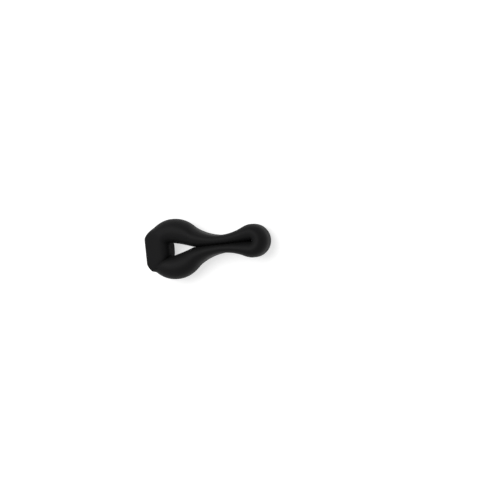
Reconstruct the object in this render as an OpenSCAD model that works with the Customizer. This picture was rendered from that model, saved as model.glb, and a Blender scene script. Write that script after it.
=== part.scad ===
// Flexible silicone massage ring with a small motor capsule in its thick end.
// The ring lies flat: +Z is its axis, +X runs from the capsule end to the folded tip, +Y is its left arm.
// At rest the loop is drawn as it is when two fingers press its arms together.
// The moulding bends along flex lines, so each arm is a chain of short lengths that turn on each other.

/* [Loop outline] */
// Radius of the round capsule end, seen along the ring's axis
head_r = 18.9; // [17:0.1:21]
// Radius of the folded tip
tip_r = 10.3; // [9:0.1:12]
// Radius of the hollow in each arm, between the head and the tip
waist_r = 29.2; // [27:0.1:33]
// Distance from the head's centre to the tip's centre
head_to_tip = 51.9; // [49:0.1:56]
// Width of the moulding along the ring's axis
depth = 18; // [17:0.1:22]

/* [Opening] */
// Half of the opening's height where it meets the capsule end
mouth_half = 3.2; // [2.8:0.1:4]
// Length of the opening, from the capsule end to where the arms meet
mouth_len = 14.4; // [12:0.1:17]
// Half of the gap left between the pressed arms
slit_half = 0.35; // [0.25:0.05:0.6]
// Radius of the round end of the slit inside the tip
slit_end_r = 1.4; // [1:0.1:2]

/* [Capsule end] */
// Distance from the flat outer face to the head's centre
flat_from_centre = 17; // [16:0.1:18]
// Thickness of the capsule end, from its outer face to the opening
pod_thick = 14.7; // [14:0.1:16]
// Direction of the crease between capsule end and arm, from the head's centre
crease_dir = 136.2; // [130:0.2:142]
// Width of the rounded rim around the capsule end
pod_rim = 2; // [1:0.1:3]
// Width of the rounded rim beside the opening
pod_inner_rim = 5; // [3:0.1:6]

/* [Flex lines] */
// How far along the outside of an arm each flex line lies, from the crease to the tip's line
flex_out_at = [0, 0.17, 0.34, 0.49, 0.635, 0.79, 1]; // [0:0.005:1]
// How far along the inside of an arm each flex line lies
flex_in_at = [0, 0.06, 0.19, 0.36, 0.56, 0.765, 1]; // [0:0.005:1]
// Turn of each flex line as the loop springs open, in degrees
flex_turn = [5, 30, -8, -23.87, -26, -9.13, 32]; // [-60:0.01:60]
// Direction of the last flex line, from the tip's centre
tip_line_dir = 76; // [65:1:82]
// Gap between neighbouring lengths
flex_gap = 0.2; // [0.15:0.01:0.3]
// Half of the gap between the two halves of the tip
tip_split_half = 0.15; // [0.12:0.01:0.3]

/* [Capsule] */
// Thickness of the capsule through the capsule end
capsule_x = 9.8; // [9.6:0.1:10.4]
// Height of the capsule along the ring's axis
capsule_z = 12; // [11.8:0.1:13]
// Wall of the capsule
capsule_wall = 0.9; // [0.7:0.05:1]
// Corner radius of the capsule
capsule_corner = 1.6; // [1.2:0.1:2]
// Thickness of the gasket between the capsule's halves
seal_t = 0.6; // [0.4:0.05:0.8]
// Silicone between the capsule and the opening
pod_inner_wall = 2.5; // [2.2:0.1:3]
// Clearance between the moulding and what it holds
mould_fit = 0.05; // [0.02:0.01:0.1]

/* [Button] */
// Diameter of the button's face
button_d = 7; // [6:0.1:8]
// Diameter of the button's stem
stem_d = 2.4; // [2:0.1:3]
// How far the button's face lies below the moulding's face
button_recess = 0.15; // [0.1:0.05:0.4]
// Travel of the button
button_travel = 0.4; // [0.3:0.05:0.6]
// Clearance around the button and its stem
button_fit = 0.15; // [0.1:0.01:0.25]
// Side of the square switch body
switch_side = 3.2; // [3:0.1:4]
// Height of the switch body on the board
switch_h = 1.3; // [1.2:0.05:1.5]
// Diameter of the switch's plunger
plunger_d = 1.6; // [1.4:0.1:1.8]
// How far the plunger stands out of the switch
plunger_out = 0.5; // [0.45:0.05:0.6]

// Thickness of the button's face
button_t = 1.5; // [1.2:0.1:1.7]
// Thickness of the switch's floor under its plunger
switch_floor = 0.2; // [0.15:0.05:0.3]
// Running clearance around the plunger
plunger_fit = 0.05; // [0.03:0.01:0.1]

/* [Electronics] */
// Thickness of the circuit board
board_t = 0.8; // [0.6:0.1:1]
// Clearance around the board and the battery inside the capsule
inside_gap = 0.3; // [0.2:0.05:0.5]
// Diameter of each charging contact
contact_d = 1.8; // [1.4:0.1:2.2]
// Distance between the charging contacts
contact_pitch = 4.4; // [4:0.1:5]
// Distance from the button's axis to the contacts' line
contact_from_button = 5.6; // [5.4:0.1:6]
// Thickness of the battery
battery_t = 4; // [3.6:0.1:4]
// Width of the battery
battery_w = 9; // [8:0.1:9.2]
// Free length beside the battery, inside the capsule
battery_side_gap = 0.8; // [0.5:0.1:1.2]
// Width of each battery tab
tab_w = 1.6; // [1:0.1:2]
// Thickness of each battery tab
tab_t = 0.2; // [0.1:0.05:0.25]

/* [Motor] */
// Diameter of the motor's can
motor_d = 4.4; // [4:0.1:4.6]
// Length of the motor's can
motor_len = 5.4; // [5:0.1:5.6]
// Thickness of the motor's end cap
motor_cap_t = 0.6; // [0.4:0.05:0.7]
// Diameter of the motor's shaft
shaft_d = 0.8; // [0.7:0.05:1]
// Diameter of the bush that carries the shaft
bush_d = 1.8; // [1.6:0.1:2.2]
// Radial running clearance of the shaft
shaft_fit = 0.03; // [0.02:0.01:0.08]
// Length of the bush that stands out of the can
bush_out = 0.5; // [0.3:0.05:0.6]
// Wall of the motor's can
can_wall = 0.3; // [0.2:0.05:0.4]
// Gap between the battery and the motor
motor_battery_gap = 0.3; // [0.2:0.05:0.5]
// Wall of the cradle beside the motor
cradle_wall = 0.7; // [0.5:0.1:1]
// Gap between the motor and the capsule's inner wall
motor_wall_gap = 0.1; // [0.08:0.01:0.2]
// Gap on each side of the weight along the shaft
weight_gap = 0.2; // [0.15:0.05:0.4]
// Distance between the motor leads
lead_pitch = 1.8; // [1.4:0.1:2.2]
// Length of the eccentric weight
weight_len = 2.4; // [2:0.1:2.6]
// Radius of the eccentric weight
weight_r = 2.1; // [1.8:0.05:2.15]
// Diameter of each motor lead
lead_d = 0.5; // [0.4:0.05:0.6]

/* [Hidden] */
$fn = 48;
eps = 0.01;
// Extra length of a cutter past the face it opens
cut = 1;

// Places along X: the outline is centred on the origin
total_len = flat_from_centre + head_to_tip + tip_r;
face_x = -total_len / 2;
head_x = face_x + flat_from_centre;
tip_x = head_x + head_to_tip;
wall_x = face_x + pod_thick;
meet_x = wall_x + mouth_len;
mid_z = depth / 2;

// Centre of the arm's hollow, whose arc touches the head's and the tip's circles
head_reach = head_r + waist_r;
tip_reach = tip_r + waist_r;
waist_along = (head_reach ^ 2 - tip_reach ^ 2 + head_to_tip ^ 2) / (2 * head_to_tip);
waist_x = head_x + waist_along;
waist_y = sqrt(head_reach ^ 2 - waist_along ^ 2);
head_centre = [head_x, 0];
waist_centre = [waist_x, waist_y];
tip_centre = [tip_x, 0];
head_touch_x = head_x + waist_along * head_r / head_reach;
tip_touch_x = tip_x - (tip_x - waist_x) * tip_r / tip_reach;

// Flex lines run from the inside of the arm to its outside
crease_x = head_x + head_r * cos(crease_dir);
last_out_x = tip_x + tip_r * cos(tip_line_dir);
last_in_x = tip_x + slit_end_r * cos(tip_line_dir);
lengths = len(flex_turn);
tip_length = lengths - 1;
// Cross-sections along each length, and strips across it
rings = 5;
strips = 12;
// Share of a strip's width that is kept where it is held off the middle line
strip_keep = 0.8;
// How far the stump reaches back into the capsule end
stump_root = 1;
// Height left flat above and below the widest edge round
crown = 1;
// Samples each way, and margin, for fitting a knuckle inside the arm's outline
probes = 24;
outline_margin = 0.02;
// Steps round the capsule end's outline and its rim
outline_steps = 6;
rim_steps = 3;

// Height of the arm's outside above the loop's middle line: head circle, hollow, tip circle
function outside_y(x) =
    x < head_touch_x ? sqrt(max(0, head_r ^ 2 - (x - head_x) ^ 2)) :
    x < tip_touch_x ? waist_y - sqrt(waist_r ^ 2 - (x - waist_x) ^ 2) :
    sqrt(max(0, tip_r ^ 2 - (x - tip_x) ^ 2));

// Height of the arm's inside: the opening's slope, the slit, and the slit's round end
function inside_y(x) =
    x < meet_x ? mouth_half + (slit_half - mouth_half) * (x - wall_x) / mouth_len :
    x < tip_x - sqrt(slit_end_r ^ 2 - slit_half ^ 2) ? slit_half :
    sqrt(max(0, slit_end_r ^ 2 - (x - tip_x) ^ 2));

function blend(a, b, t) = a + (b - a) * t;
function out_x(i) = blend(crease_x, last_out_x, flex_out_at[i]);
function in_x(i) = blend(wall_x, last_in_x, flex_in_at[i]);
function round_tip(r, dir) = [tip_x + r * cos(dir), max(tip_split_half, r * sin(dir))];

// Outer and inner end of the cross-section at share t of length i
function out_end(i, t) =
    i == tip_length ? round_tip(tip_r, tip_line_dir * (1 - t)) :
    let (x = blend(out_x(i), out_x(i + 1), t)) [x, outside_y(x)];
function in_end(i, t) =
    i == tip_length ? round_tip(slit_end_r, tip_line_dir * (1 - t)) :
    let (x = blend(in_x(i), in_x(i + 1), t)) [x, inside_y(x)];

function section_half(i, t) = norm(out_end(i, t) - in_end(i, t)) / 2;

// Middle of the flex line at the start of length i
function flex_centre(i) = (out_end(i, 0) + in_end(i, 0)) / 2;

// Radius of the knuckle about flex line i: the largest round that stays inside the arm
function knuckle_r(i) =
    let (
        c = flex_centre(i),
        span = section_half(i, 0),
        near = [for (k = [-probes:probes]) c.x + span * k / probes],
        to_outside = min([for (x = near) norm([x, outside_y(x)] - c)]),
        to_inside = min([for (x = near) if (x > wall_x) norm([x, inside_y(x)] - c)])
    ) min(to_outside, to_inside, span) - outline_margin;

// A length starts in a hollow arc round the flex line, cut back on the side that closes
function start_reach(i, w, r) =
    let (
        n = abs(w) * section_half(i, 0),
        arc = sqrt(max(0, (r + flex_gap) ^ 2 - n ^ 2)),
        closes = sign(flex_turn[i]) * w > 0,
        relief = closes ? n * tan(abs(flex_turn[i])) : 0
    ) max(arc, relief + flex_gap);

// It ends in a full round about the next flex line, and the tip ends flat
function end_reach(i, w, r) = i == tip_length ? 0 : sqrt(max(0, r ^ 2 - (w * section_half(i, 1)) ^ 2));

// True where plan point p lies to the left of the line from a to b
function left_of(p, a, b) = (b.x - a.x) * (p.y - a.y) > (b.y - a.y) * (p.x - a.x);

// Distance from plan point p to the segment from a to b
function off_segment(p, a, b) =
    let (t = max(0, min(1, (p - a) * (b - a) / ((b - a) * (b - a))))) norm(p - a - t * (b - a));

// Distance from plan point p to the arm's outside: head circle, tip circle or hollow
function to_outside(p) =
    left_of(p, head_centre, waist_centre) ? head_r - norm(p - head_centre) :
    left_of(p, tip_centre, waist_centre) ? norm(p - waist_centre) - waist_r :
    tip_r - norm(p - tip_centre);

// Distance from plan point p to the arm's inside: the opening's slope, the slit or its round end
function to_inside(p) = min(
    off_segment(p, [wall_x, mouth_half], [meet_x, slit_half]),
    off_segment(p, [meet_x, slit_half], [tip_x, slit_half]),
    abs(norm(p - tip_centre) - slit_end_r)
);

// Half height of the arm at plan point p: flat sides with fully rounded edges
function half_height(p) =
    let (
        half = (to_outside(p) + to_inside(p)) / 2,
        n = abs(to_outside(p) - to_inside(p)) / 2,
        edge = min(half, mid_z - crown)
    ) mid_z - edge + sqrt(max(0, edge ^ 2 - max(0, n - (half - edge)) ^ 2));

function lateral(j) = -cos(180 * j / strips);

// Plan position at lateral share w, moved forward by reach and kept inside the outline
function plan_point(outer, inner, w, reach) =
    let (
        half = norm(outer - inner) / 2,
        across = (outer - inner) / (2 * half),
        ahead = [across.y, -across.x],
        p = (outer + inner) / 2 + across * w * half + ahead * reach,
        lowest = tip_split_half + strip_keep * (1 + w) * half * across.y
    ) [p.x, max(min(p.y, outside_y(p.x)), lowest)];

// One closed ring of points: along the top edge by strips, then back along the bottom
function ring_points(outer, inner, reaches) =
    [for (side = [1, -1]) for (k = [0:strips])
        let (
            j = side > 0 ? k : strips - k,
            p = plan_point(outer, inner, lateral(j), reaches[j])
        ) [p.x, p.y, mid_z + side * half_height(p)]];

// Two triangles of a four-sided patch
function patch(a, b, c, d) = [[a, b, c], [a, c, d]];

// Skin between rings, and a cap of upright strips at each end
function loft_faces(count) =
    let (n = 2 * (strips + 1), last = (count - 1) * n)
    concat(
        [for (ring = [0:count - 2]) for (k = [0:n - 1])
            let (a = ring * n + k, b = ring * n + (k + 1) % n) each patch(a, b, b + n, a + n)],
        [for (j = [0:strips - 1]) each patch(j, n - 1 - j, n - 2 - j, j + 1)],
        [for (j = [0:strips - 1])
            let (a = last + j, d = last + n - 1 - j) each patch(a, a + 1, d - 1, d)]
    );

module arm_length(i) {
    start_r = knuckle_r(i);
    end_r = i == tip_length ? 0 : knuckle_r(i + 1);
    points = [for (ring = [0:rings])
        let (
            t = ring / rings,
            fade = i == tip_length ? (1 - t) ^ 2 : 1 - t,
            reaches = [for (j = [0:strips])
                fade * start_reach(i, lateral(j), start_r) + t * end_reach(i, lateral(j), end_r)]
        ) each ring_points(out_end(i, t), in_end(i, t), reaches)];
    color("#1b1b1d") polyhedron(points = points, faces = loft_faces(rings + 1), convexity = 4);
}

module right_side() {
    mirror([0, 1, 0]) children();
}

// Rounded stump on the capsule end that the first length turns round
module stump() {
    half = section_half(0, 0);
    r = knuckle_r(0);
    back = [for (j = [0:strips]) -stump_root];
    front = [for (j = [0:strips]) sqrt(max(0, r ^ 2 - (lateral(j) * half) ^ 2))];
    points = concat(
        ring_points(out_end(0, 0), in_end(0, 0), back),
        ring_points(out_end(0, 0), in_end(0, 0), front)
    );
    polyhedron(points = points, faces = loft_faces(2), convexity = 4);
}

// Outline of the capsule end between its two creases
module pod_outline() {
    flat_dir = acos(-flat_from_centre / head_r);
    arc_dirs = [for (k = [0:outline_steps]) blend(crease_dir, flat_dir, k / outline_steps)];
    upper = [for (a = arc_dirs) [head_x + head_r * cos(a), head_r * sin(a)]];
    lower = [for (k = [outline_steps:-1:0]) [upper[k].x, -upper[k].y]];
    polygon(concat([[wall_x, -mouth_half], [wall_x, mouth_half]], upper, lower));
}

// How far a round of radius r stands in from the side at depth d below the top
function rim_inset(r, d) = d >= r ? 0 : r - sqrt(r ^ 2 - (r - d) ^ 2);

// Slab of the capsule end that leaves out depth d above and below
module pod_layer(d) {
    translate([0, 0, d]) linear_extrude(depth - 2 * d) intersection() {
        offset(delta = -rim_inset(pod_rim, d)) pod_outline();
        translate([face_x, -head_r]) square([pod_thick - rim_inset(pod_inner_rim, d), 2 * head_r]);
    }
}

module pod_block() {
    hull() {
        for (r = [pod_rim, pod_inner_rim]) for (k = [0:rim_steps])
            pod_layer(r * (1 - sin(90 * k / rim_steps)));
    }
}

// Capsule places: its length follows from the battery and the motor side by side
capsule_y = 2 * capsule_wall + battery_side_gap + battery_w + motor_battery_gap + motor_d + cradle_wall;
capsule_x1 = wall_x - pod_inner_wall;
capsule_x0 = capsule_x1 - capsule_x;
inside_x0 = capsule_x0 + capsule_wall;
inside_x1 = capsule_x1 - capsule_wall;
inside_y_half = capsule_y / 2 - capsule_wall;
inside_z_half = capsule_z / 2 - capsule_wall;
split_x = (capsule_x0 + capsule_x1) / 2;

// Board stack, from the shell's outer wall inwards
button_bottom = face_x + button_recess + button_t;
battery_x1 = inside_x1 - inside_gap;
battery_x0 = battery_x1 - battery_t;
board_x1 = battery_x0 - inside_gap;
board_x0 = board_x1 - board_t;
switch_x0 = board_x0 - switch_h;
plunger_x0 = switch_x0 - plunger_out;
plunger_seat = switch_h - switch_floor;

// Motor places
motor_x = inside_x1 - motor_wall_gap - motor_d / 2;
motor_y = inside_y_half - cradle_wall - motor_d / 2;
motor_z0 = mid_z - inside_z_half + motor_wall_gap;
lead_reach = sqrt((motor_d / 2) ^ 2 - ((lead_pitch + lead_d) / 2) ^ 2);
lead_fit = 0.02;
lead_z = motor_z0 + motor_cap_t - lead_d / 2 - lead_fit;
can_z0 = motor_z0 + motor_cap_t;
can_z1 = can_z0 + motor_len;
bush_in = can_wall + 0.1;
weight_z0 = can_z1 + bush_out + weight_gap;
shaft_z0 = motor_z0 + motor_cap_t / 2 + shaft_fit;
battery_y1 = motor_y - motor_d / 2 - motor_battery_gap;
battery_y0 = battery_y1 - battery_w;
cradle_y0 = battery_y1 + motor_battery_gap / 2;
// Share of the can's length held by the cradle, and the clearance round the can
cradle_share = 0.8;
cradle_fit = 0.02;
board_y_half = inside_y_half - inside_gap;
board_z_half = inside_z_half - inside_gap;
battery_z_half = board_z_half - tab_t;

// Bar along X with rounded long edges
module rounded_bar(x0, x1, y_size, z_size, corner) {
    translate([x0, 0, mid_z]) rotate([90, 0, 90]) linear_extrude(x1 - x0) {
        square([y_size - 2 * corner, z_size], center = true);
        square([y_size, z_size - 2 * corner], center = true);
        for (sy = [-1, 1], sz = [-1, 1])
            translate([sy * (y_size / 2 - corner), sz * (z_size / 2 - corner)]) circle(corner);
    }
}

module rod_x(x0, x1, d, y = 0, z = 0) {
    translate([x0, y, mid_z + z]) rotate([0, 90, 0]) cylinder(h = x1 - x0, d = d);
}

module contact_rods(x0, x1, d) {
    for (s = [-1, 1]) rod_x(x0, x1, d, -contact_from_button, s * contact_pitch / 2);
}

module capsule_inside(x0, x1) {
    wall = 2 * capsule_wall;
    rounded_bar(x0, x1, capsule_y - wall, capsule_z - wall, capsule_corner - capsule_wall);
}

module pod_sleeve() color("#1b1b1d") difference() {
    union() {
        pod_block();
        stump();
        right_side() stump();
    }
    rounded_bar(capsule_x0 - mould_fit, capsule_x1 + mould_fit, capsule_y + 2 * mould_fit,
        capsule_z + 2 * mould_fit, capsule_corner + mould_fit);
    rod_x(face_x - cut, split_x, button_d + 2 * button_fit);
    contact_rods(face_x - cut, split_x, contact_d + 2 * mould_fit);
}

module left_shoulder() arm_length(0);
module left_lobe() arm_length(1);
module left_neck() arm_length(2);
module left_waist() arm_length(3);
module left_forearm() arm_length(4);
module left_wrist() arm_length(5);
module left_tip() arm_length(6);
module right_shoulder() right_side() arm_length(0);
module right_lobe() right_side() arm_length(1);
module right_neck() right_side() arm_length(2);
module right_waist() right_side() arm_length(3);
module right_forearm() right_side() arm_length(4);
module right_wrist() right_side() arm_length(5);
module right_tip() right_side() arm_length(6);

module capsule_outer_shell() color("#d8d8d4") difference() {
    rounded_bar(capsule_x0, split_x - seal_t / 2, capsule_y, capsule_z, capsule_corner);
    capsule_inside(inside_x0, split_x + eps);
    rod_x(capsule_x0 - cut, split_x, stem_d + 2 * button_fit);
    contact_rods(capsule_x0 - cut, split_x, contact_d + 2 * mould_fit);
}

module capsule_inner_shell() color("#d8d8d4") difference() {
    rounded_bar(split_x + seal_t / 2, capsule_x1, capsule_y, capsule_z, capsule_corner);
    capsule_inside(split_x - eps, inside_x1);
}

module capsule_seal() color("#40464c") difference() {
    rounded_bar(split_x - seal_t / 2, split_x + seal_t / 2, capsule_y, capsule_z, capsule_corner);
    capsule_inside(split_x - seal_t, split_x + seal_t);
}

module button_cap() color("#232326") {
    rod_x(face_x + button_recess, button_bottom, button_d);
    rod_x(button_bottom, plunger_x0, stem_d);
}

module switch_body() color("#2f3236") difference() {
    translate([switch_x0, -switch_side / 2, mid_z - switch_side / 2])
        cube([switch_h, switch_side, switch_side]);
    rod_x(switch_x0 - cut, switch_x0 + plunger_seat, plunger_d + 2 * plunger_fit);
}

module switch_plunger() color("#b9302c") {
    rod_x(plunger_x0, switch_x0 + plunger_seat - button_travel - plunger_fit, plunger_d);
}

module circuit_board() color("#1f6b3a") difference() {
    translate([board_x0, -board_y_half, mid_z - board_z_half])
        cube([board_t, 2 * board_y_half, 2 * board_z_half]);
    contact_rods(board_x0 - cut, board_x1 + cut, contact_d + 2 * mould_fit);
}

module charge_contacts() color("#c9a14a") contact_rods(face_x + mould_fit, board_x1, contact_d);

module battery() color("#9aa3ab") translate([battery_x0, battery_y0, mid_z - battery_z_half])
    cube([battery_t, battery_w, 2 * battery_z_half]);

// Each tab stands half its own width in from the battery's corner
module battery_tabs() color("#c8ccd0")
    for (y = [battery_y0 + tab_w / 2, battery_y1 - tab_w / 2 - tab_w])
        translate([board_x1, y, mid_z + battery_z_half])
            cube([inside_gap + battery_t / 2, tab_w, tab_t]);

module battery_pad() color("#5a5f66") translate([battery_x1, battery_y0, mid_z - battery_z_half])
    cube([inside_gap, battery_w, 2 * battery_z_half]);

module motor_can() color("#b8bcc2") translate([motor_x, motor_y, can_z0]) difference() {
    cylinder(h = motor_len, d = motor_d);
    translate([0, 0, -eps]) cylinder(h = motor_len - can_wall + eps, d = motor_d - 2 * can_wall);
    cylinder(h = motor_len + cut, d = bush_d);
}

module motor_end_cap() color("#2a2a2c") difference() {
    translate([motor_x, motor_y, motor_z0]) cylinder(h = motor_cap_t, d = motor_d);
    translate([motor_x, motor_y, motor_z0 + motor_cap_t / 2])
        cylinder(h = motor_cap_t, d = shaft_d + 2 * shaft_fit);
    lead_rods(lead_d + 2 * lead_fit);
}

module motor_bush() color("#b08a3c") translate([motor_x, motor_y, can_z1 - bush_in]) difference() {
    cylinder(h = bush_in + bush_out, d = bush_d);
    translate([0, 0, -cut]) cylinder(h = bush_in + bush_out + 2 * cut, d = shaft_d + 2 * shaft_fit);
}

module motor_shaft() color("#dcdfe3") translate([motor_x, motor_y, shaft_z0])
    cylinder(h = weight_z0 + weight_len - shaft_z0, d = shaft_d);

module motor_weight() color("#7d7f85") translate([motor_x, motor_y, weight_z0]) difference() {
    intersection() {
        cylinder(h = weight_len, r = weight_r);
        union() {
            translate([-weight_r, -weight_r, 0]) cube([2 * weight_r, weight_r, weight_len]);
            cylinder(h = weight_len, d = bush_d);
        }
    }
    translate([0, 0, -cut]) cylinder(h = weight_len + 2 * cut, d = shaft_d);
}

module motor_cradle() color("#e4e2da") difference() {
    translate([motor_x, cradle_y0, can_z0])
        cube([inside_x1 - motor_x, inside_y_half - cradle_y0, motor_len * cradle_share]);
    translate([motor_x, motor_y, can_z0 - cut])
        cylinder(h = motor_len + 2 * cut, d = motor_d + 2 * cradle_fit);
}

module lead_rods(d) {
    for (s = [-1, 1])
        rod_x(board_x1, motor_x - lead_reach, d, motor_y + s * lead_pitch / 2, lead_z - mid_z);
}

module motor_leads() color("#c03a30") lead_rods(lead_d);

pod_sleeve();
left_shoulder();
left_lobe();
left_neck();
left_waist();
left_forearm();
left_wrist();
left_tip();
right_shoulder();
right_lobe();
right_neck();
right_waist();
right_forearm();
right_wrist();
right_tip();
capsule_outer_shell();
capsule_inner_shell();
capsule_seal();
button_cap();
switch_body();
switch_plunger();
circuit_board();
charge_contacts();
battery();
battery_tabs();
battery_pad();
motor_can();
motor_end_cap();
motor_bush();
motor_shaft();
motor_weight();
motor_cradle();
motor_leads();
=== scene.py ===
import math

import bpy
import numpy as np
from mathutils import Matrix, Vector


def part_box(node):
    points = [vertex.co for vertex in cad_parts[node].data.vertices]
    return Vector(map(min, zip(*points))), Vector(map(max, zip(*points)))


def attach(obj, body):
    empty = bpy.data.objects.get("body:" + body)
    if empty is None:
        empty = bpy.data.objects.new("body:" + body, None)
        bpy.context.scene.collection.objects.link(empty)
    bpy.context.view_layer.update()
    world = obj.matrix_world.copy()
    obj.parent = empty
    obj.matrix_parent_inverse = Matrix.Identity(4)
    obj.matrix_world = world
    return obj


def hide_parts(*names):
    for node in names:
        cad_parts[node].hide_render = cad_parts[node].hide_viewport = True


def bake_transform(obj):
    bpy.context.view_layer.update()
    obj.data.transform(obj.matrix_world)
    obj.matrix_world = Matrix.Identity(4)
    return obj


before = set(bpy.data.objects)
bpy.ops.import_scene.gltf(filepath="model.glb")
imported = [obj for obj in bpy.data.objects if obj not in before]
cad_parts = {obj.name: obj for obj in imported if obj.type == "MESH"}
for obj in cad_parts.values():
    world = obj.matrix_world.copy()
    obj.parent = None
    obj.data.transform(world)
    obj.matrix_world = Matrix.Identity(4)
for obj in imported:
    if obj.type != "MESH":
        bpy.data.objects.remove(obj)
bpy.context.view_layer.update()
scene = bpy.context.scene
mm = 0.001
print("frame loaded:", len(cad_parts), "nodes")


def boxMm(node):
    low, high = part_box(node)
    return np.array(low) / mm, np.array(high) / mm


# s(t) = 3t^2 - 2t^3, with t = (x - a) / (b - a) kept between 0 and 1
def smoothRamp(a, b, x):
    t = np.clip((x - a) / (b - a), 0, 1)
    return t * t * (3 - 2 * t)


# Cubic through the knots that never overshoots: each slope is the harmonic mean of its two chords
def easedCurve(knotX, knotY, x):
    knotX, knotY = np.asarray(knotX, float), np.asarray(knotY, float)
    width = np.diff(knotX)
    chord = np.diff(knotY) / width
    slope = np.concatenate([[chord[0]], 2 * chord[1:] * chord[:-1] / (chord[1:] + chord[:-1]), [chord[-1]]])
    k = np.clip(np.searchsorted(knotX, x, side="right") - 1, 0, len(width) - 1)
    t = (x - knotX[k]) / width[k]
    return ((2 * t**3 - 3 * t**2 + 1) * knotY[k] + (t**3 - 2 * t**2 + t) * width[k] * slope[k]
            + (3 * t**2 - 2 * t**3) * knotY[k + 1] + (t**3 - t**2) * width[k] * slope[k + 1])


# Object from points and faces, in millimetres. Its faces are turned outwards, by the sign of its volume,
# and edges sharper than sharpAngle degrees stay sharp.
def makeMesh(name, points, faces, material, sharpAngle=50):
    mesh = bpy.data.meshes.new(name)
    mesh.from_pydata((np.asarray(points) * mm).tolist(), [], faces)
    mesh.update()
    mesh.calc_loop_triangles()
    corners = np.empty(len(mesh.loop_triangles) * 3, np.int32)
    mesh.loop_triangles.foreach_get("vertices", corners)
    a, b, c = np.asarray(points)[corners.reshape(-1, 3)].transpose(1, 0, 2)
    if (a * np.cross(b, c)).sum() < 0:
        mesh.flip_normals()
    mesh.polygons.foreach_set("use_smooth", np.ones(len(mesh.polygons), bool))
    mesh.set_sharp_from_angle(angle=math.radians(sharpAngle))
    mesh.materials.append(material)
    obj = bpy.data.objects.new(name, mesh)
    scene.collection.objects.link(obj)
    return obj


# Quads between rings j and j + 1 of a grid of closed rings, plus one flat cap on each end ring
def ringFaces(rings, around):
    j, k = np.meshgrid(np.arange(rings - 1), np.arange(around), indexing="ij")
    nextK = (k + 1) % around
    quads = np.stack([j * around + k, j * around + nextK, (j + 1) * around + nextK, (j + 1) * around + k], -1)
    last = (rings - 1) * around
    return quads.reshape(-1, 4).tolist() + [list(range(around))[::-1], list(range(last, last + around))]


# Surface of revolution about an axis along +X: (x(t), y0 + r(t) cos a, z0 + r(t) sin a), poles closed
def lathe(xs, rs, y0, z0, steps=96):
    xs, rs = np.asarray(xs, float), np.asarray(rs, float)
    a = np.linspace(0, 2 * math.pi, steps, endpoint=False)
    ring = np.stack([np.repeat(xs[1:-1, None], steps, 1), y0 + rs[1:-1, None] * np.cos(a),
                     z0 + rs[1:-1, None] * np.sin(a)], -1).reshape(-1, 3)
    points = np.vstack([ring, [[xs[0], y0, z0], [xs[-1], y0, z0]]])
    faces = ringFaces(len(xs) - 2, steps)[:-2]
    first, last, end = len(ring), len(ring) + 1, (len(xs) - 3) * steps
    k = np.arange(steps)
    faces += np.stack([np.full(steps, first), (k + 1) % steps, k], -1).tolist()
    faces += np.stack([np.full(steps, last), end + k, end + (k + 1) % steps], -1).tolist()
    return points, faces


def newMaterial(name):
    material = bpy.data.materials.new(name)
    material.use_nodes = True
    tree = material.node_tree
    bsdf = tree.nodes["Principled BSDF"]
    coords = tree.nodes.new("ShaderNodeTexCoord")
    return material, tree, bsdf, coords.outputs["Object"]


def noise(tree, coords, scale, detail=3, roughness=0.55, stretch=None):
    if stretch:
        mapping = tree.nodes.new("ShaderNodeMapping")
        mapping.inputs["Scale"].default_value = stretch
        tree.links.new(coords, mapping.inputs["Vector"])
        coords = mapping.outputs["Vector"]
    node = tree.nodes.new("ShaderNodeTexNoise")
    node.inputs["Scale"].default_value = scale
    node.inputs["Detail"].default_value = detail
    node.inputs["Roughness"].default_value = roughness
    tree.links.new(coords, node.inputs["Vector"])
    return node.outputs["Fac"]


def ramp(tree, value, low, high, a, b):
    node = tree.nodes.new("ShaderNodeMapRange")
    node.inputs["From Min"].default_value = low
    node.inputs["From Max"].default_value = high
    node.inputs["To Min"].default_value = a
    node.inputs["To Max"].default_value = b
    tree.links.new(value, node.inputs["Value"])
    return node.outputs["Result"]


def mixColour(tree, factor, a, b):
    node = tree.nodes.new("ShaderNodeMix")
    node.data_type = "RGBA"
    node.inputs[6].default_value = (*a, 1)
    node.inputs[7].default_value = (*b, 1)
    tree.links.new(factor, node.inputs[0])
    return node.outputs[2]


def bump(tree, bsdf, height, distance, under=None):
    node = tree.nodes.new("ShaderNodeBump")
    node.inputs["Distance"].default_value = distance
    node.inputs["Strength"].default_value = 1.0
    tree.links.new(height, node.inputs["Height"])
    if under:
        tree.links.new(under, node.inputs["Normal"])
    tree.links.new(node.outputs["Normal"], bsdf.inputs["Normal"])
    return node.outputs["Normal"]


siliconeLook = {
    "deepColour": (0.0056, 0.0056, 0.0058),  # where the skin is clean
    "dustColour": (0.0084, 0.0084, 0.0087),  # where fine dust sits on it
    "cloudScale": 140.0,                     # cloudy change of tone, per metre
    "roughnessLow": 0.48,
    "roughnessHigh": 0.56,
    "flatRoughness": 0.12,                   # the capsule end's skin is this much duller
    "specular": 0.07,
    "grainScale": 5200.0,                    # fine matte grain of the mould
    "grainDepth": 0.000012,
    "waveScale": 420.0,                      # soft unevenness of the moulding
    "waveDepth": 0.00005,
    "lineHeight": 0.009,                     # parting line halfway up
    "lineWidth": 0.00012,
    "lineDepth": 0.00004,
}


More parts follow.
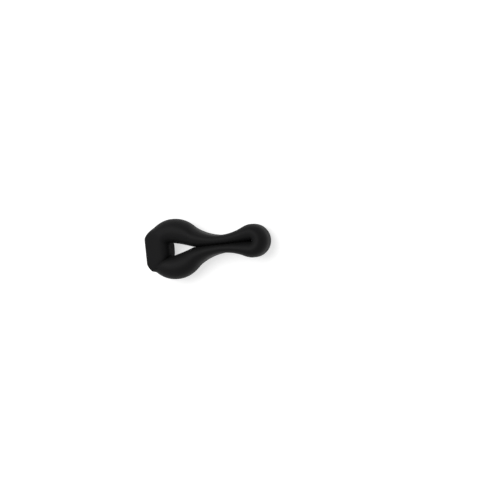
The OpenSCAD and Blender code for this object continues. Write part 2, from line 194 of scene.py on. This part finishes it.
# Matte silicone: clouded tone, uneven roughness, fine mould grain and a faint parting line at mid-height
def siliconeMaterial(name, look):
    material, tree, bsdf, coords = newMaterial(name)
    cloud = noise(tree, coords, look["cloudScale"], 4, 0.6)
    speck = noise(tree, coords, look["grainScale"] * 0.5, 2, 0.5)
    blendOf = tree.nodes.new("ShaderNodeMath")
    blendOf.operation = "MULTIPLY"
    tree.links.new(ramp(tree, cloud, 0.35, 0.7, 0.15, 1.0), blendOf.inputs[0])
    tree.links.new(ramp(tree, speck, 0.35, 0.65, 0.5, 1.0), blendOf.inputs[1])
    tree.links.new(mixColour(tree, blendOf.outputs[0], look["deepColour"], look["dustColour"]),
                   bsdf.inputs["Base Color"])
    stretched = tree.nodes.new("ShaderNodeAttribute")
    stretched.attribute_name = "stretchedSkin"
    rough = tree.nodes.new("ShaderNodeMath")
    rough.operation = "MULTIPLY_ADD"
    rough.inputs[1].default_value = look["flatRoughness"]
    tree.links.new(stretched.outputs["Fac"], rough.inputs[0])
    tree.links.new(ramp(tree, cloud, 0.3, 0.7, look["roughnessLow"], look["roughnessHigh"]), rough.inputs[2])
    tree.links.new(rough.outputs[0], bsdf.inputs["Roughness"])
    bsdf.inputs["Specular IOR Level"].default_value = look["specular"]
    waves = bump(tree, bsdf, noise(tree, coords, look["waveScale"], 2, 0.4), look["waveDepth"])
    split = tree.nodes.new("ShaderNodeSeparateXYZ")
    tree.links.new(coords, split.inputs["Vector"])
    offset = tree.nodes.new("ShaderNodeMath")
    offset.operation = "SUBTRACT"
    offset.inputs[1].default_value = look["lineHeight"]
    tree.links.new(split.outputs["Z"], offset.inputs[0])
    away = tree.nodes.new("ShaderNodeMath")
    away.operation = "ABSOLUTE"
    tree.links.new(offset.outputs[0], away.inputs[0])
    ridge = ramp(tree, away.outputs[0], 0, look["lineWidth"], 1, 0)
    line = bump(tree, bsdf, ridge, look["lineDepth"], under=waves)
    bump(tree, bsdf, noise(tree, coords, look["grainScale"], 2, 0.5), look["grainDepth"], under=line)
    return material


# A darker and a lighter shade of one colour
def shades(colour):
    return tuple(0.88 * c for c in colour), tuple(min(1.0, 1.08 * c) for c in colour)


# Moulded plastic, rubber or foam: a base tone with soft mottling, uneven roughness and a grain
def mouldedMaterial(name, colour, roughness, grainScale, grainDepth):
    material, tree, bsdf, coords = newMaterial(name)
    cloud = noise(tree, coords, 600.0, 4, 0.6)
    tree.links.new(mixColour(tree, ramp(tree, cloud, 0.3, 0.7, 0, 1), *shades(colour)),
                   bsdf.inputs["Base Color"])
    tree.links.new(ramp(tree, cloud, 0.3, 0.7, roughness - 0.06, roughness + 0.06), bsdf.inputs["Roughness"])
    bump(tree, bsdf, noise(tree, coords, grainScale, 3, 0.6), grainDepth)
    return material


# Metal: drawn or turned, with fine scratches stretched along one axis
def metalMaterial(name, colour, roughness, stretch):
    material, tree, bsdf, coords = newMaterial(name)
    scratch = noise(tree, coords, 900.0, 5, 0.7, stretch)
    stain = noise(tree, coords, 260.0, 3, 0.5)
    tree.links.new(mixColour(tree, ramp(tree, stain, 0.3, 0.7, 0, 1), *shades(colour)),
                   bsdf.inputs["Base Color"])
    tree.links.new(ramp(tree, scratch, 0.3, 0.7, roughness - 0.08, roughness + 0.1), bsdf.inputs["Roughness"])
    bsdf.inputs["Metallic"].default_value = 1.0
    bump(tree, bsdf, scratch, 0.000006)
    return material


silicone = siliconeMaterial("blackSilicone", siliconeLook)
print("silicone ready")


loop = {
    "headRadius": 18.9,       # round of the two lobes beside the capsule end
    "tipRadius": 10.3,        # round of the far end
    "waistRadius": 29.2,      # hollow of each arm between them
    "headToTip": 51.9,
    "faceFromHead": 17.0,     # flat outer face, measured from the lobes' centre
    "podThick": 14.7,
    "creaseAngle": 136.2,     # where the crease meets the outline, in degrees
    "mouthHalf": 3.9,         # half the opening's width at the capsule end
    "mouthLength": 15.6,      # from there to where the arms meet
    "mouthBow": 1.4,          # how late the opening closes; 1 is a straight wedge
    "mouthSideRound": 0.1,    # how far before the opening's corner the crease starts
    "slitHalf": 0.01,
    "slitEndRadius": 0.4,
    "outerFlex": [0, 0.17, 0.34, 0.49, 0.635, 0.79, 1],   # lines across an arm, as shares of its outside
    "innerFlex": [0, 0.06, 0.19, 0.36, 0.56, 0.765, 1],   # and of its inside
    "tipLineAngle": 76,       # last line, in degrees round the far end
    "podOuterEdge": 2.2,      # rounding of the capsule end's outer rim
    "podInnerEdge": 5.5,      # and of its rim towards the opening
    "armEdge": 8.2,           # largest rounding of an arm's edges
    "edgeShare": 0.97,        # and its largest share of half the arm's width
    "edgeTall": 1.45,         # how much taller than wide that rounding is
    "edgeTallMost": 8.4,      # and how tall it may get
    "outerSoft": 0.6,         # how far the outline's corners are softened
    "innerSoft": 0.45,
    "grooveWidth": 0.85,      # the crease between capsule end and arm
    "grooveFloor": 0.12,      # width of its rounded floor
    "grooveDepth": {1: 0.12, -1: 1.15},     # left, right
    "grooveFades": 0.75,      # share of its depth that is lost towards the outside
    "grooveFadeStart": 0.35,  # from this share of the way across
    "roundingStarts": {1: 0.6, -1: 0.93},   # where the flat end turns into a round arm
    "roundingEnds": {1: 1.45, -1: 1.1},     # and where that is done
    "cornerSteps": 18,        # points round a cross-section: each corner, each flat and each side
    "flatSteps": 6,
    "sideSteps": 8,
}
lowCorner, highCorner = boxMm("pod_sleeve")
faceX, baseZ, depth = lowCorner[0], lowCorner[2], highCorner[2] - lowCorner[2]
midZ = baseZ + depth / 2
headX = faceX + loop["faceFromHead"]
tipX = headX + loop["headToTip"]
wallX = faceX + loop["podThick"]
meetX = wallX + loop["mouthLength"]
flexNames = ["shoulder", "lobe", "neck", "waist", "forearm", "wrist", "tip"]


# Points on a circle from angle a to angle b, in degrees
def arc(centreX, centreY, radius, a, b, gap=0.05):
    t = np.radians(np.linspace(a, b, max(3, int(abs(math.radians(b - a)) * radius / gap))))
    return np.stack([centreX + radius * np.cos(t), centreY + radius * np.sin(t)], -1)


def straight(p, q, gap=0.05):
    t = np.linspace(0, 1, max(3, int(math.dist(p, q) / gap)))[:, None]
    return (1 - t) * np.array(p, float) + t * np.array(q, float)


# Side of the opening: y = half - (half - slit) * u^bow, with u from 0 at the wall to 1 where the arms meet
def bowed(x0, x1, half, slit, bow):
    u = np.linspace(0, 1, 300)
    return np.stack([x0 + (x1 - x0) * u, half - (half - slit) * u**bow], -1)


# Evenly spaced path through the points, softened with a bell curve exp(-(s / soft)^2 / 2); both ends
# lie on the loop's middle line, where the path carries on as its own mirror image
def softened(points, soft, gap=0.05):
    step = np.hypot(*np.diff(points, axis=0).T)
    s = np.concatenate([[0], np.cumsum(step)])
    even = np.linspace(0, s[-1], int(s[-1] / gap))
    path = np.stack([np.interp(even, s, points[:, k]) for k in range(2)], -1)
    reach = int(4 * soft / gap)
    flip = np.array([1, -1])
    longer = np.vstack([path[reach:0:-1] * flip, path, path[-2:-reach - 2:-1] * flip])
    bell = np.exp(-((np.arange(-reach, reach + 1) * gap / soft) ** 2) / 2)
    bell /= bell.sum()
    path = np.stack([np.convolve(longer[:, k], bell, "valid") for k in range(2)], -1)
    length = np.concatenate([[0], np.cumsum(np.hypot(*np.diff(path, axis=0).T))])
    return path, length


headReach, tipReach = loop["headRadius"] + loop["waistRadius"], loop["tipRadius"] + loop["waistRadius"]
waistAlong = (headReach**2 - tipReach**2 + loop["headToTip"]**2) / (2 * loop["headToTip"])
waistX, waistY = headX + waistAlong, math.sqrt(headReach**2 - waistAlong**2)
flatAngle = math.degrees(math.acos(-loop["faceFromHead"] / loop["headRadius"]))
headTouch = math.degrees(math.atan2(waistY, waistAlong))
tipTouch = math.degrees(math.atan2(waistY, waistX - tipX))
outerPath, outerLength = softened(np.vstack([
    straight((faceX, 0), (faceX, loop["headRadius"] * math.sin(math.radians(flatAngle)))),
    arc(headX, 0, loop["headRadius"], flatAngle, headTouch)[1:],
    arc(waistX, waistY, loop["waistRadius"], headTouch + 180, tipTouch + 180)[1:],
    arc(tipX, 0, loop["tipRadius"], tipTouch, 0)[1:]]), loop["outerSoft"])
slitJoin = math.degrees(math.asin(loop["slitHalf"] / loop["slitEndRadius"]))
innerPath, innerLength = softened(np.vstack([
    straight((wallX, 0), (wallX, loop["mouthHalf"])),
    bowed(wallX, meetX, loop["mouthHalf"], loop["slitHalf"], loop["mouthBow"])[1:],
    straight((meetX, loop["slitHalf"]), (tipX - loop["slitEndRadius"] * math.cos(math.radians(slitJoin)),
                                         loop["slitHalf"]))[1:],
    arc(tipX, 0, loop["slitEndRadius"], 180 - slitJoin, 0)[1:]]), loop["innerSoft"])


# Place g along the loop: 0 at the capsule end's middle, 1 at the crease, 2 to 7 at the lines across the
# arm, 8 at the far end. Both edges of a cross-section come from g by one eased curve each.
creaseX = headX + loop["headRadius"] * math.cos(math.radians(loop["creaseAngle"]))
lastOut = tipX + loop["tipRadius"] * math.cos(math.radians(loop["tipLineAngle"]))
lastIn = tipX + loop["slitEndRadius"] * math.cos(math.radians(loop["tipLineAngle"]))
outX = creaseX + (lastOut - creaseX) * np.array(loop["outerFlex"])
inX = wallX + (lastIn - wallX) * np.array(loop["innerFlex"])
past = int(np.argmax(outerPath[:, 0] > creaseX - 1))     # x grows along the path from here on
outS = np.interp(outX, outerPath[past:, 0], outerLength[past:])
past = int(np.argmax(innerPath[:, 0] > wallX + 0.2))
inS = np.interp(inX, innerPath[past:, 0], innerLength[past:])
inS[0] = loop["mouthHalf"] - loop["mouthSideRound"]
knots = np.arange(9)
outS = np.concatenate([[0], outS, [outerLength[-1]]])
inS = np.concatenate([[0], inS, [innerLength[-1]]])


def along(path, length, s):
    return np.stack([np.interp(s, length, path[:, k]) for k in range(2)], -1)


def outerEdge(g):
    return along(outerPath, outerLength, easedCurve(knots, outS, g))


def innerEdge(g):
    return along(innerPath, innerLength, easedCurve(knots, inS, g))


# Unit cross-section: signs and turns of its corners, and places on its flats. A point is
# n = sign * (half - edge + edge * sin a), z = up * (depth / 2 - tall + tall * cos a)
def sectionPlan():
    a = np.linspace(0, math.pi / 2, loop["cornerSteps"] + 1)
    flat = np.linspace(-1, 1, loop["flatSteps"] + 1)[1:-1]
    side = np.linspace(1, -1, loop["sideSteps"] + 1)[1:-1]
    one = np.ones      # each row: share of the flat, turn of the corner, share of the side
    rows = [(flat, 0 * flat, one(len(flat))),
            (one(len(a)), a, one(len(a))),
            (one(len(side)), np.full(len(side), math.pi / 2), side),
            (one(len(a)), a[::-1], -one(len(a))),
            (flat[::-1], 0 * flat, -one(len(flat))),
            (-one(len(a)), a, -one(len(a))),
            (-one(len(side)), np.full(len(side), math.pi / 2), side[::-1]),
            (-one(len(a)), a[::-1], one(len(a)))]
    return [np.concatenate([r[k] for r in rows]) for k in range(3)]


flatShare, cornerTurn, sideShare = sectionPlan()
around = len(flatShare)
creaseOut, creaseIn = outerEdge(np.array([1.0]))[0], innerEdge(np.array([1.0]))[0]


# The loop's skin: p(g, v) = centre(g) + across(g) n(v), mid-height + z(v), where the crease's groove draws
# the skin in by depth * exp(-distance / width), fading towards the outside of the loop. g is a grid of
# rings by section points, so a ring may lie aslant.
def loopSkin(g, side):
    outer, inner = outerEdge(np.abs(g)), innerEdge(np.abs(g))
    flip = np.stack([np.ones(g.shape), np.where(g < 0, -1.0, 1.0)], -1)
    outer, inner = outer * flip, inner * flip
    centre, half = (outer + inner) / 2, np.linalg.norm(outer - inner, axis=-1) / 2
    across = (outer - inner) / (2 * half[..., None])
    right = (g < 0) | (side < 0)
    starts, ends, deepest = (np.where(right, loop[value][-1], loop[value][1])
                             for value in ("roundingStarts", "roundingEnds", "grooveDepth"))
    arm = smoothRamp(starts, ends, np.abs(g))
    armEdge = np.minimum(half * loop["edgeShare"], loop["armEdge"])
    outEdge = (1 - arm) * loop["podOuterEdge"] + arm * armEdge
    inEdge = (1 - arm) * loop["podInnerEdge"] + arm * armEdge
    edge = np.where(flatShare >= 0, outEdge, inEdge)
    shift = (inEdge - outEdge) / 2
    flatHalf = half - (inEdge + outEdge) / 2
    n = shift + flatShare * flatHalf + np.where(flatShare >= 0, 1, -1) * edge * np.sin(cornerTurn)
    tall = edge * (1 + arm * (loop["edgeTall"] - 1))
    tall = np.minimum(tall, np.maximum(edge, loop["edgeTallMost"]))
    z = sideShare * (depth / 2 - tall) + np.sign(sideShare) * tall * np.cos(cornerTurn)
    xy = centre + across * n[..., None]
    line = (creaseOut - creaseIn) / math.dist(creaseOut, creaseIn)
    fold = np.stack([xy[..., 0], np.abs(xy[..., 1])], -1)
    distance = (fold[..., 0] - creaseIn[0]) * line[1] - (fold[..., 1] - creaseIn[1]) * line[0]
    share = (fold - creaseIn) @ line / math.dist(creaseOut, creaseIn)
    pull = deepest * np.exp(-np.hypot(distance, loop["grooveFloor"]) / loop["grooveWidth"])
    pull = pull * (1 - loop["grooveFades"] * smoothRamp(loop["grooveFadeStart"], 1.0, share))
    n = n * (1 - pull / half)
    z = z * (1 - pull / (depth / 2))
    xy = centre + across * n[..., None]
    xy[..., 1] *= side
    return np.concatenate([xy, midZ + z[..., None]], -1)


# Ring of g for a seam: (gOut + gIn) / 2 + (gOut - gIn) / 2 * share, with share from -1 inside to 1 outside
acrossShare = (flatShare + np.where(flatShare >= 0, 1, -1) * np.sin(cornerTurn)) / 2


def seamRing(seam):
    gOut, gIn = seam
    return (gOut + gIn) / 2 + (gOut - gIn) / 2 * acrossShare


# Rings from one seam to the next, spaced evenly along the middle of the loop
def ringGrid(first, last, gap):
    middle = np.linspace(sum(first) / 2, sum(last) / 2, 400)
    path = (outerEdge(np.abs(middle)) + innerEdge(np.abs(middle))) / 2
    path[:, 1] *= np.where(middle < 0, -1, 1)
    s = np.concatenate([[0], np.cumsum(np.hypot(*np.diff(path, axis=0).T))])
    t = np.interp(np.linspace(0, s[-1], max(6, int(s[-1] / gap))), s, np.linspace(0, 1, 400))[:, None]
    return (1 - t) * seamRing(first) + t * seamRing(last)


# Seams between the lengths, as g outside and inside, and the plan direction in which each length bends.
# They are set so that the opened loop bends evenly.
skin = {
    "seamOut": [0.7, 1.4, 2.8, 3.5, 4.5, 5.6, 6.3, 7.9995],
    "seamIn": [0.15, 0.95, 3.15, 3.75, 4.65, 5.65, 6.05, 7.998],
    "bendDirection": [45, 10, 5, 0, -5, -10, -30],
    "ringGap": 0.32,          # distance between rings along an arm
    "endRingGap": 0.448,      # and along the capsule end
    "capSink": 2,             # how many rings deep a length's end faces are dished
    "shellPlay": 0.05,        # between the capsule's shell and the skin around it
    "shellCorner": 1.6,       # rounding of the cavity's corners
    "sheenStarts": 1.3,       # place along the loop past which the skin is less matte
    "sheenFull": 0.85,
}


# One closed length of the skin, whose end faces are dished fans; stretchedSkin is 1 over the capsule and
# 0 past the crease
def loopPiece(name, first, last, side, gap):
    g = ringGrid(first, last, gap)
    grid = loopSkin(g, side)
    middles = grid[[skin["capSink"], -1 - skin["capSink"]]].mean(1)
    k = np.arange(around)
    nextK, end = (k + 1) % around, (len(g) - 1) * around
    faces = ringFaces(len(g), around)[:-2]
    faces += np.stack([nextK, k, np.full(around, grid[..., 0].size)], -1).tolist()
    faces += np.stack([end + k, end + nextK, np.full(around, grid[..., 0].size + 1)], -1).tolist()
    piece = makeMesh(name, np.vstack([grid.reshape(-1, 3), middles]), faces, silicone)
    piece.data.polygons.foreach_set("use_smooth", np.arange(len(faces)) < len(faces) - 2 * around)
    stretched = piece.data.attributes.new("stretchedSkin", "FLOAT", "POINT")
    places = np.append(np.abs(g).ravel(), np.abs(g).mean(1)[[0, -1]])
    share = 1 - smoothRamp(skin["sheenFull"], skin["sheenStarts"], places)
    stretched.data.foreach_set("value", share.astype(np.float32))
    return piece, grid


seams = list(zip(skin["seamOut"], skin["seamIn"]))
outerShellLow, outerShellHigh = boxMm("capsule_outer_shell")
innerShellLow, innerShellHigh = boxMm("capsule_inner_shell")
capsuleLow, capsuleHigh = np.minimum(outerShellLow, innerShellLow), np.maximum(outerShellHigh, innerShellHigh)


# Cuts one closed mesh out of another and removes the cutter
def cutOut(obj, cutter):
    step = obj.modifiers.new("cut", "BOOLEAN")
    step.operation, step.solver, step.object = "DIFFERENCE", "EXACT", cutter
    bpy.context.view_layer.update()
    fresh = bpy.data.meshes.new_from_object(obj.evaluated_get(bpy.context.evaluated_depsgraph_get()))
    obj.modifiers.clear()
    obj.data = fresh
    bpy.data.objects.remove(cutter)


# Bar along X: a rectangle in Y and Z whose corners have radius r
def roundedBar(name, low, high, r, material):
    a = np.radians(np.arange(0, 91, 15))
    cy, cz = (low[1] + high[1]) / 2, (low[2] + high[2]) / 2
    hy, hz = (high[1] - low[1]) / 2 - r, (high[2] - low[2]) / 2 - r
    turn = np.concatenate([a, a + math.pi / 2, a + math.pi, a + 1.5 * math.pi])
    quarter = np.repeat([0, 1, 2, 3], len(a))
    sy, sz = np.array([1, -1, -1, 1])[quarter], np.array([1, 1, -1, -1])[quarter]
    y, z = cy + sy * hy + r * np.cos(turn), cz + sz * hz + r * np.sin(turn)
    grid = np.stack([np.stack([np.full(len(y), x), y, z], -1) for x in (low[0], high[0])])
    return makeMesh(name, grid.reshape(-1, 3), ringFaces(2, len(y)), material)


# Room for the capsule's shell
def cutCavity(obj):
    play = skin["shellPlay"]
    cutOut(obj, roundedBar("cavity", capsuleLow - play, capsuleHigh + play, skin["shellCorner"], silicone))
    obj.data.set_sharp_from_angle(angle=math.radians(50))


for side, sideName in ((1, "left"), (-1, "right")):
    for k, flexName in enumerate(flexNames):
        node = sideName + "_" + flexName
        piece, grid = loopPiece(node + "_skin", seams[k], seams[k + 1], side, skin["ringGap"])
        if k == 0:
            cutCavity(piece)
        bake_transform(piece)
        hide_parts(node)


button = {
    "softEdge": 0.45,      # rounding of the button's rim
    "dish": 0.18,          # depth of the finger dish in its face
    "dishShare": 0.78,     # the dish's radius as a share of the button's
    "faceDepth": 1.5,      # thickness of the part that shows
    "stemRadius": 1.2,
    "ledge": 0.15,         # clearance between the button and its opening
}
contact = {
    "softEdge": 0.25,    # rounding of each pin's rim
    "crown": 0.06,       # how far the middle of each pin stands up
    "play": 0.05,        # between a pin and the skin around it
    "colour": (0.80, 0.60, 0.25),
    "roughness": 0.28,
}


mirrored = tuple(-g for g in seams[0])
podBody = loopPiece("capsule_end_skin", mirrored, seams[0], 1, skin["endRingGap"])[0]
buttonLow, buttonHigh = boxMm("button_cap")
buttonR = (buttonHigh[1] - buttonLow[1]) / 2
contactLow, contactHigh = boxMm("charge_contacts")
contactR = (contactHigh[1] - contactLow[1]) / 2
contactY = (contactHigh[1] + contactLow[1]) / 2
contactZ = [contactLow[2] + contactR, contactHigh[2] - contactR]
cutCavity(podBody)
bores = [(contactY, z, contactR + contact["play"]) for z in contactZ]
bores.insert(0, (0, midZ, buttonR + button["ledge"]))
for y0, z0, r in bores:
    xs = np.repeat([faceX - 2, capsuleLow[0] + 0.5], 2)      # from before the face into the cavity
    points, faces = lathe(xs, [0, r, r, 0], y0, z0, 66)
    cutOut(podBody, makeMesh("bore", points, faces, silicone))
podBody.data.set_sharp_from_angle(angle=math.radians(40))
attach(podBody, "pod")
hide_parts("pod_sleeve")
print("capsule end ready:", len(podBody.data.polygons), "faces")


# Profile of the button's face, rim and stem: depth behind the face x(r) = dish * (1 - (r / dishR)^2)^2
# inside the dish, a quarter round at the rim, then straight back to the stem
def buttonPiece(values):
    stemR = values["stemRadius"]
    depthBack = buttonHigh[0] - buttonLow[0]
    flatR = buttonR - values["softEdge"]
    dishR = buttonR * values["dishShare"]
    r = np.linspace(0, flatR, 28)
    dish = values["dish"] * np.clip(1 - (r / dishR) ** 2, 0, 1) ** 2
    t = np.linspace(0, math.pi / 2, 10)[1:]
    rimR, rimX = flatR + values["softEdge"] * np.sin(t), values["softEdge"] * (1 - np.cos(t))
    stepX = values["faceDepth"]
    rs = np.concatenate([r, rimR, [buttonR, stemR, stemR, 0]])
    xs = buttonLow[0] + np.concatenate([dish, rimX, [stepX, stepX, depthBack, depthBack]])
    points, faces = lathe(xs, rs, 0, midZ)
    return makeMesh("button_face", points, faces, silicone, 40)


buttonFace = buttonPiece(button)
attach(buttonFace, "button")
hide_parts("button_cap")

# Domed pin: x(r) = crown * (r / flatR)^2 over the face, a quarter round at the rim, then straight back
def contactPins(values):
    flatR = contactR - values["softEdge"]
    r = np.linspace(0, flatR, 12)
    t = np.linspace(0, math.pi / 2, 8)[1:]
    back = contactHigh[0] - contactLow[0]
    rs = np.concatenate([r, flatR + values["softEdge"] * np.sin(t), [contactR, 0]])
    xs = np.concatenate([values["crown"] * (r / flatR) ** 2,
                         values["crown"] + values["softEdge"] * (1 - np.cos(t)), [back, back]])
    pins = [lathe(contactLow[0] + xs, rs, contactY, z, 48) for z in contactZ]
    points = np.vstack([p for p, f in pins])
    count = len(pins[0][0])
    faces = pins[0][1] + [[v + count for v in face] for face in pins[1][1]]
    gold = metalMaterial("brushedGold", values["colour"], values["roughness"], (1.0, 1.0, 14.0))
    return makeMesh("contact_pins", points, faces, gold, 40)


contactPiece = contactPins(contact)
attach(contactPiece, "pod")
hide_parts("charge_contacts")
print("button and contacts ready")


# Inside the capsule every node keeps its solid and gets one of these finishes: colour, roughness, and the
# scale and depth of its grain
moulded = {
    "shellPlastic": ((0.82, 0.82, 0.82), 0.42, 2600.0, 0.00001),
    "sealRubber": ((0.20, 0.22, 0.24), 0.70, 5200.0, 0.000015),
    "switchPlastic": ((0.12, 0.12, 0.12), 0.38, 3800.0, 0.000008),
    "plungerPlastic": ((0.60, 0.12, 0.10), 0.34, 3400.0, 0.000006),
    "batteryFoil": ((0.60, 0.63, 0.66), 0.30, 900.0, 0.00003),
    "paddingFoam": ((0.30, 0.32, 0.35), 0.90, 1900.0, 0.0001),
    "cradlePlastic": ((0.85, 0.84, 0.80), 0.50, 2400.0, 0.00001),
    "leadInsulation": ((0.60, 0.12, 0.10), 0.40, 5200.0, 0.000005),
}
# Metals: colour, roughness, and how the scratches stretch along X, Y and Z
metals = {
    "nickelStrip": ((0.72, 0.72, 0.70), 0.26, (14.0, 1.0, 1.0)),
    "drawnSteel": ((0.70, 0.70, 0.71), 0.24, (1.0, 0.06, 1.0)),
    "bushBrass": ((0.65, 0.48, 0.20), 0.32, (1.0, 10.0, 1.0)),
    "groundSteel": ((0.74, 0.75, 0.76), 0.14, (1.0, 12.0, 1.0)),
    "sinteredMetal": ((0.40, 0.40, 0.42), 0.44, (1.0, 1.0, 1.0)),
}
finishOf = {
    "capsule_outer_shell": "shellPlastic",
    "capsule_inner_shell": "shellPlastic",
    "capsule_seal": "sealRubber",
    "switch_body": "switchPlastic",
    "switch_plunger": "plungerPlastic",
    "circuit_board": "boardResin",
    "battery": "batteryFoil",
    "battery_pad": "paddingFoam",
    "battery_tabs": "nickelStrip",
    "motor_can": "drawnSteel",
    "motor_end_cap": "switchPlastic",
    "motor_bush": "bushBrass",
    "motor_shaft": "groundSteel",
    "motor_weight": "sinteredMetal",
    "motor_cradle": "cradlePlastic",
    "motor_leads": "leadInsulation",
}


# Printed board: green resin over a fine glass weave, two crossed waves sin(ky) and sin(kz)
def boardMaterial():
    material, tree, bsdf, coords = newMaterial("boardResin")
    weaves = []
    for axis in ("Y", "Z"):
        wave = tree.nodes.new("ShaderNodeTexWave")
        wave.bands_direction = axis
        wave.inputs["Scale"].default_value = 700.0
        wave.inputs["Distortion"].default_value = 0.4
        tree.links.new(coords, wave.inputs["Vector"])
        weaves.append(wave.outputs["Fac"])
    crossed = tree.nodes.new("ShaderNodeMath")
    crossed.operation = "MULTIPLY"
    tree.links.new(weaves[0], crossed.inputs[0])
    tree.links.new(weaves[1], crossed.inputs[1])
    tree.links.new(mixColour(tree, crossed.outputs[0], (0.008, 0.075, 0.030), (0.020, 0.135, 0.055)),
                   bsdf.inputs["Base Color"])
    tree.links.new(ramp(tree, noise(tree, coords, 700), 0.3, 0.7, 0.24, 0.34), bsdf.inputs["Roughness"])
    bump(tree, bsdf, crossed.outputs[0], 4e-6)
    return material


finishes = {name: mouldedMaterial(name, *values) for name, values in moulded.items()}
finishes.update({name: metalMaterial(name, *values) for name, values in metals.items()})
finishes["boardResin"] = boardMaterial()
for node, name in finishOf.items():
    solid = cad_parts[node].data
    if not solid.materials:
        solid.materials.append(None)
    for k in range(len(solid.materials)):
        solid.materials[k] = finishes[name]
print("inner nodes finished:", len(finishOf))


stageValues = {
    "floorSize": 3.0,
    "floorBelow": 0.0001,    # just under the ring
    "floorColour": 0.62,
    "floorGlow": 0.62,       # brings the pale floor up to white where no shadow falls
    "skyLight": 0.42,
    "lampSize": 0.9,
    "lampPower": 7.3,
    "lampPlace": (-0.28, 0.32, 0.95),
}


# 1 for camera, glossy and transmission rays, 0 for the others
def seenDirectly(tree):
    path = tree.nodes.new("ShaderNodeLightPath")
    total = path.outputs["Is Camera Ray"]
    for ray in ("Is Glossy Ray", "Is Transmission Ray"):
        add = tree.nodes.new("ShaderNodeMath")
        add.operation, add.use_clamp = "ADD", True
        tree.links.new(total, add.inputs[0])
        tree.links.new(path.outputs[ray], add.inputs[1])
        total = add.outputs[0]
    return total


def floorAndSky(values):
    size = values["floorSize"] / 2
    mesh = bpy.data.meshes.new("floor")
    z = baseZ * mm - values["floorBelow"]
    corners = [(-size, -size, z), (size, -size, z), (size, size, z), (-size, size, z)]
    mesh.from_pydata(corners, [], [(0, 1, 2, 3)])
    floor = bpy.data.objects.new("floor", mesh)
    scene.collection.objects.link(floor)
    material = bpy.data.materials.new("paleFloor")
    material.use_nodes = True
    tree = material.node_tree
    tree.nodes.clear()
    out = tree.nodes.new("ShaderNodeOutputMaterial")
    matte = tree.nodes.new("ShaderNodeBsdfDiffuse")
    matte.inputs["Color"].default_value = (values["floorColour"],) * 3 + (1,)
    glow = tree.nodes.new("ShaderNodeEmission")
    seen = tree.nodes.new("ShaderNodeMath")
    seen.operation = "MULTIPLY"
    seen.inputs[1].default_value = values["floorGlow"]
    tree.links.new(seenDirectly(tree), seen.inputs[0])
    tree.links.new(seen.outputs[0], glow.inputs["Strength"])
    both = tree.nodes.new("ShaderNodeAddShader")
    tree.links.new(matte.outputs[0], both.inputs[0])
    tree.links.new(glow.outputs[0], both.inputs[1])
    tree.links.new(both.outputs[0], out.inputs["Surface"])
    mesh.materials.append(material)
    world = bpy.data.worlds.new("studio")
    scene.world = world
    world.use_nodes = True
    tree = world.node_tree
    back = tree.nodes["Background"]
    back.inputs["Color"].default_value = (1, 1, 1, 1)
    level = tree.nodes.new("ShaderNodeMapRange")
    level.inputs["To Min"].default_value = values["skyLight"]
    level.inputs["To Max"].default_value = 1.0
    tree.links.new(seenDirectly(tree), level.inputs["Value"])
    tree.links.new(level.outputs["Result"], back.inputs["Strength"])


def lamp(name, place, target, size, power):
    data = bpy.data.lights.new(name, "AREA")
    data.shape, data.size, data.energy = "DISK", size, power
    obj = bpy.data.objects.new(name, data)
    scene.collection.objects.link(obj)
    obj.location = place
    obj.rotation_euler = (Vector(target) - Vector(place)).to_track_quat("-Z", "Y").to_euler()
    return obj


floorAndSky(stageValues)
print("floor and sky ready")
lamp("softLamp", stageValues["lampPlace"], (0, 0, 0), stageValues["lampSize"], stageValues["lampPower"])

cameraValues = {
    "lens": 85.0,
    "sensor": 36.0,
    "distance": 0.711,
    "yaw": 19.5,             # degrees from straight above towards the far end
    "tilt": 0.0,
    "roll": 6.0,
    "target": (0.0297, -0.0055, 0.018),   # point in the middle of the view
}


def placeCamera(values):
    data = bpy.data.cameras.new("camera")
    data.lens, data.sensor_width = values["lens"], values["sensor"]
    camera = bpy.data.objects.new("camera", data)
    scene.collection.objects.link(camera)
    yaw, tilt, roll = (math.radians(values[k]) for k in ("yaw", "tilt", "roll"))
    back = Vector((math.sin(yaw) * math.cos(tilt), math.sin(tilt), math.cos(yaw) * math.cos(tilt)))
    right = Vector((0, 1, 0)).cross(back).normalized()
    up = back.cross(right)
    spin = Matrix.Rotation(-roll, 3, back)
    right, up = spin @ right, spin @ up
    place = Vector(values["target"]) + back * values["distance"]
    camera.matrix_world = Matrix((right, up, back)).transposed().to_4x4()
    camera.location = place
    scene.camera = camera


placeCamera(cameraValues)
scene.view_settings.view_transform = "Standard"
